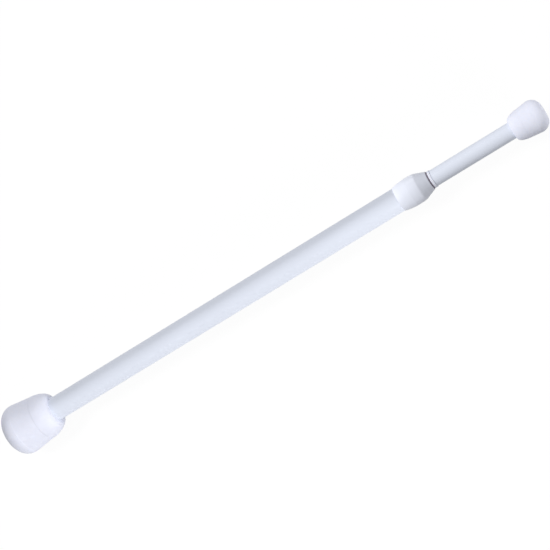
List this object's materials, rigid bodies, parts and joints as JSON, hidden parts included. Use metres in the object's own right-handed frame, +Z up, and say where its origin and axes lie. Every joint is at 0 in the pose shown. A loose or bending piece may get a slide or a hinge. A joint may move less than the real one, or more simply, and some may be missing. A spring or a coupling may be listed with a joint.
{
  "type": "extendable curtain rod",
  "caption": "Spring-tension curtain rod: a thin tube telescopes from a thick one through a bulb collar, a twist lock sets the length, and rubber feet press against the walls.",
  "frame": {"origin": "centre of the large foot's end face", "axes": "+X along the rod from the large foot to the small foot, +Z up"},
  "size_m": [0.4145, 0.0354, 0.0354],
  "materials": {
    "coated_steel": "white powder coat, satin",
    "foot_rubber": "white moulded soft rubber, satin",
    "collar_plastic": "white moulded plastic, satin",
    "bush_nylon": "white nylon, matt",
    "lock_plastic": "pale grey moulded plastic, matt",
    "zinc_steel": "zinc plated, drawn",
    "spring_steel": "drawn spring wire, oiled"
  },
  "bodies": {
    "outer_rod": {"outer_tube": "coated_steel", "outer_tube_plug": "lock_plastic", "outer_foot": "foot_rubber", "collar": "collar_plastic", "collar_bush": "bush_nylon"},
    "lock_ring": {"cam_ring": "bush_nylon"},
    "lock_core": {"cam_core": "lock_plastic", "lock_shaft": "zinc_steel", "stop_washer": "zinc_steel", "cam_washer": "zinc_steel", "shaft_clip": "spring_steel", "tension_spring": "spring_steel"},
    "inner_rod": {"inner_tube": "coated_steel", "inner_tube_plug": "lock_plastic", "inner_foot": "foot_rubber", "shaft_guide": "lock_plastic"}
  },
  "joints": [
    {"name": "extension", "type": "slide", "parent": "outer_rod", "child": "lock_ring", "axis": [1, 0, 0], "range_m": [-0.0365, 0.1572]},
    {"name": "twist", "type": "hinge", "parent": "lock_ring", "child": "lock_core", "pos_m": [0.0912, 0, 0], "axis": [1, 0, 0], "range_deg": [-35, 35]},
    {"name": "spring_travel", "type": "slide", "parent": "lock_core", "child": "inner_rod", "axis": [1, 0, 0], "range_m": [-0.02, 0], "stiffness_N_per_m": 1290, "springref_m": 0.008, "deforming": ["tension_spring"]}
  ]
}
